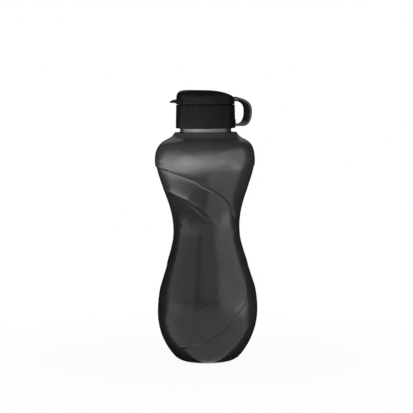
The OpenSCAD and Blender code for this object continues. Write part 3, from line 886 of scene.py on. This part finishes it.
def lamp(name, turn, distance, height, size, power):
    """A soft box at an angle in degrees round the bottle, aimed at its middle. Lengths in metres."""
    data = bpy.data.lights.new(name, "AREA")
    data.shape, data.size, data.size_y = "RECTANGLE", size[0], size[1]
    data.energy = power
    obj = bpy.data.objects.new(name, data)
    a = math.radians(turn)
    obj.location = (distance * math.cos(a), distance * math.sin(a), height)
    obj.rotation_euler = (Vector(AIM) - obj.location).to_track_quat("-Z", "Y").to_euler()
    obj.visible_camera = False
    bpy.context.scene.collection.objects.link(obj)
    return obj


def sloped_card(name, turn, near, far, width, power):
    """A glowing card beside the waist that slopes up from near to far, each a distance and a height. Its
    lower face is dark, so it lights the upper bulge and not the lower one."""
    run, rise = far[0] - near[0], far[1] - near[1]
    obj = lamp(name, turn, (near[0] + far[0]) / 2, (near[1] + far[1]) / 2, (math.hypot(run, rise), width),
               power)
    slope = Matrix.Rotation(math.radians(turn), 4, "Z") @ Matrix.Rotation(-math.atan2(rise, run), 4, "Y")
    obj.rotation_euler = (slope @ Matrix.Rotation(math.pi, 4, "X")).to_euler()


def seen_white(tree):
    """1 for camera, glossy and transmitted rays, which see the white backdrop, and 0 for the rest."""
    path = add_node(tree, "ShaderNodeLightPath")
    seen = path.outputs["Is Camera Ray"]
    for other in ("Is Glossy Ray", "Is Transmission Ray"):
        seen = add_node(tree, "ShaderNodeMath", {0: seen, 1: path.outputs[other]},
                        operation="MAXIMUM").outputs["Value"]
    return seen


def backdrop_paper(colour):
    """Matt backdrop paper: its fibres scatter light evenly, with a faint mottle."""
    mat, tree, place = new_material("Backdrop_paper_matt")
    # Where the fibres lie thicker or thinner, the paper is mottled in patches about 2 mm across
    tone = add_node(tree, "ShaderNodeMix", {"Factor": noise(tree, place, 2.0, 4.0),
                                            "A": shade_of(colour, 0.98), "B": shade_of(colour, 1.02)},
                    data_type="RGBA")
    sheet = add_node(tree, "ShaderNodeBsdfDiffuse", {"Color": tone.outputs["Result"]})
    glow = add_node(tree, "ShaderNodeEmission", {"Color": linear("FFFFFF"), "Strength": 1.0})
    # The paper catches the bottle's shadow near it, and is evenly white further off
    away = add_node(tree, "ShaderNodeVectorMath", {0: place}, operation="LENGTH")
    share = add_node(tree, "ShaderNodeMapRange", {"Value": away.outputs["Value"],
                                                  "From Min": PATCH_MIDDLE, "From Max": PATCH_EDGE,
                                                  "To Min": PATCH_WHITE, "To Max": 1.0},
                     interpolation_type="SMOOTHSTEP")
    seen = add_node(tree, "ShaderNodeMath", {0: seen_white(tree), 1: share.outputs["Result"]},
                    operation="MULTIPLY")
    mix = add_node(tree, "ShaderNodeMixShader", {0: seen.outputs[0], 1: sheet.outputs[0], 2: glow.outputs[0]})
    add_node(tree, "ShaderNodeOutputMaterial", {"Surface": mix.outputs[0]})
    return mat


def black_velvet():
    """Black velvet flag: its pile swallows nearly all the light, unevenly."""
    mat, tree, place = new_material("Black_velvet_flag")
    # The pile lies one way or the other in patches about 30 mm across
    tone = add_node(tree, "ShaderNodeMix", {"Factor": noise(tree, place, 30.0, 4.0),
                                            "A": linear("0A0A0A"), "B": linear("141414")},
                    data_type="RGBA")
    face = add_node(tree, "ShaderNodeBsdfDiffuse", {"Color": tone.outputs["Result"]})
    add_node(tree, "ShaderNodeOutputMaterial", {"Surface": face.outputs["BSDF"]})
    return mat


def flag(name, rings, cloth):
    """A black flag that runs round the bottle through rings of (distance, height, opening from, opening to),
    with the opening in degrees from the camera's side. It darkens reflections and nothing else."""
    count = 73  # points round a ring
    rows = []
    for distance, height, low, high in rings:
        turns = np.radians(FRONT + np.linspace(high, low + 360, count))
        rows.append(np.stack([distance * np.cos(turns), distance * np.sin(turns),
                              np.full(count, height)], -1) / MM)
    faces = [(k, k + 1, k + count + 1, k + count) for row in range(len(rows) - 1)
             for k in range(count * row, count * (row + 1) - 1)]
    obj = new_object(name, np.vstack(rows), faces)
    obj.data.materials.append(cloth)
    obj.visible_camera = obj.visible_diffuse = obj.visible_transmission = obj.visible_shadow = False


def make_stage(look):
    """The white floor and backdrop, the soft boxes, the flags and the camera."""
    scene = bpy.context.scene
    scene.view_settings.view_transform = "Standard"

    scene.world = bpy.data.worlds.new("Studio")
    tree = fresh_tree(scene.world)
    white = add_node(tree, "ShaderNodeBackground", {"Color": linear("FFFFFF"), "Strength": 1.0})
    room = add_node(tree, "ShaderNodeBackground", {"Color": linear("FFFFFF"), "Strength": ROOM_STRENGTH})
    mix = add_node(tree, "ShaderNodeMixShader", {0: seen_white(tree), 1: room.outputs[0],
                                                 2: white.outputs[0]})
    add_node(tree, "ShaderNodeOutputWorld", {"Surface": mix.outputs[0]})

    floor = new_object("floor", [(-2500, -2500, 0), (2500, -2500, 0), (2500, 2500, 0), (-2500, 2500, 0)],
                       [(0, 1, 2, 3)])
    floor.data.materials.append(backdrop_paper(look.paper))

    cloth = black_velvet()
    flag("flag_tent", FLAG_TENT, cloth)
    flag("flag_table", FLAG_TABLE, cloth)
    flag("flag_waist", FLAG_WAIST, cloth)

    for name, turn, distance, height, size, power in SOFT_BOXES:
        lamp(name, FRONT + turn, distance, height, size, power)
    for name, turn, (near, far), width, power in CARDS:
        sloped_card(name, FRONT + turn, near, far, width, power)

    data = bpy.data.cameras.new("camera")
    data.lens, data.sensor_width = CAMERA_LENS, CAMERA_SENSOR
    data.shift_x, data.shift_y = CAMERA_SHIFT
    camera = bpy.data.objects.new("camera", data)
    camera.location = CAMERA_PLACE
    camera.rotation_euler = (Vector(CAMERA_AIM) - camera.location).to_track_quat("-Z", "Y").to_euler()
    camera.rotation_euler.rotate_axis("Z", math.radians(CAMERA_ROLL))
    scene.collection.objects.link(camera)
    scene.camera = camera


# ---------- operators ----------

def build(context, make, body, slot, finish, *nodes):
    """Makes a piece from its sizes, gives it its material, and says what it rides on and what it replaces."""
    obj = make(in_mm(context.scene.bottle_sizes, context.scene.cap_sizes))
    obj.data.materials.clear()
    obj.data.materials.append(finish_of(finish))
    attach(obj, body)
    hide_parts(*nodes)
    return {"FINISHED"}


class BOTTLE_OT_body(bpy.types.Operator):
    """Blows the bottle, with its swirled creases and threaded neck"""
    bl_idname = "bottle.body"
    bl_label = "Bottle body"

    def execute(self, context):
        return build(context, make_bottle, "bottle", "bottle_wall", "wall", "bottle_body")


class BOTTLE_OT_collar(bpy.types.Operator):
    """Moulds the screw collar, with its inside thread"""
    bl_idname = "bottle.collar"
    bl_label = "Screw collar"

    def execute(self, context):
        return build(context, make_collar, "cap", "cap_plastic", "cap", "screw_collar")


class BOTTLE_OT_gasket(bpy.types.Operator):
    """Cuts the gasket that seals the bottle's mouth"""
    bl_idname = "bottle.gasket"
    bl_label = "Gasket"

    def execute(self, context):
        return build(context, make_seal, "gasket", "soft_seal", "soft", "mouth_seal")


class BOTTLE_OT_spout(bpy.types.Operator):
    """Moulds the drinking spout that presses into the collar"""
    bl_idname = "bottle.spout"
    bl_label = "Drinking spout"

    def execute(self, context):
        return build(context, make_spout, "cap", "cap_plastic", "cap", "drinking_spout")


class BOTTLE_OT_lid(bpy.types.Operator):
    """Moulds the flip lid, with its thumb tab and hinge knuckle"""
    bl_idname = "bottle.lid"
    bl_label = "Flip lid"

    def execute(self, context):
        return build(context, make_lid, "lid", "cap_plastic", "cap", "flip_lid")


class BOTTLE_OT_plug(bpy.types.Operator):
    """Moulds the soft plug under the lid, which closes the spout"""
    bl_idname = "bottle.plug"
    bl_label = "Lid plug"

    def execute(self, context):
        return build(context, make_plug, "lid", "soft_seal", "soft", "lid_plug")


class BOTTLE_OT_loop(bpy.types.Operator):
    """Moulds the carry loop, with its pad and hinge ears"""
    bl_idname = "bottle.loop"
    bl_label = "Carry loop"

    def execute(self, context):
        return build(context, make_loop, "cap", "loop_plastic", "loop", "carry_loop")


class BOTTLE_OT_pin(bpy.types.Operator):
    """Cuts the steel pin that holds the lid to the carry loop"""
    bl_idname = "bottle.pin"
    bl_label = "Hinge pin"

    def execute(self, context):
        return build(context, make_pin, "cap", "pin_steel", "steel", "hinge_pin")


class BOTTLE_OT_stage(bpy.types.Operator):
    """Sets up the floor, the soft boxes and the camera"""
    bl_idname = "bottle.stage"
    bl_label = "Stage"

    def execute(self, context):
        make_stage(context.scene.bottle_finishes)
        return {"FINISHED"}


class BOTTLE_PT_panel(bpy.types.Panel):
    """Sizes, finishes and steps of the squeeze bottle"""
    bl_idname = "BOTTLE_PT_panel"
    bl_label = "Squeeze Bottle"
    bl_space_type = "VIEW_3D"
    bl_region_type = "UI"
    bl_category = "Squeeze Bottle"

    def draw(self, context):
        for group in (context.scene.bottle_sizes, context.scene.cap_sizes, context.scene.bottle_finishes):
            column = self.layout.column(align=True)
            for key in group.__annotations__:
                column.prop(group, key)
        for step in STEPS:
            self.layout.operator(step.bl_idname)


GROUPS = {"bottle_sizes": BottleSizes, "cap_sizes": CapSizes, "bottle_finishes": Finishes}
STEPS = (BOTTLE_OT_stage, BOTTLE_OT_body, BOTTLE_OT_collar, BOTTLE_OT_gasket, BOTTLE_OT_spout, BOTTLE_OT_lid,
         BOTTLE_OT_plug, BOTTLE_OT_loop, BOTTLE_OT_pin)


def register():
    for cls in (*GROUPS.values(), *STEPS, BOTTLE_PT_panel):
        bpy.utils.register_class(cls)
    for key, group in GROUPS.items():
        setattr(bpy.types.Scene, key, PointerProperty(type=group))


def unregister():
    for key in GROUPS:
        delattr(bpy.types.Scene, key)
    for cls in (BOTTLE_PT_panel, *reversed(STEPS), *reversed(GROUPS.values())):
        bpy.utils.unregister_class(cls)


def main():
    """Builds the bottle and its stage."""
    register()
    for step in STEPS:
        group, action = step.bl_idname.split(".")
        getattr(getattr(bpy.ops, group), action)()


if __name__ == "__main__":
    main()
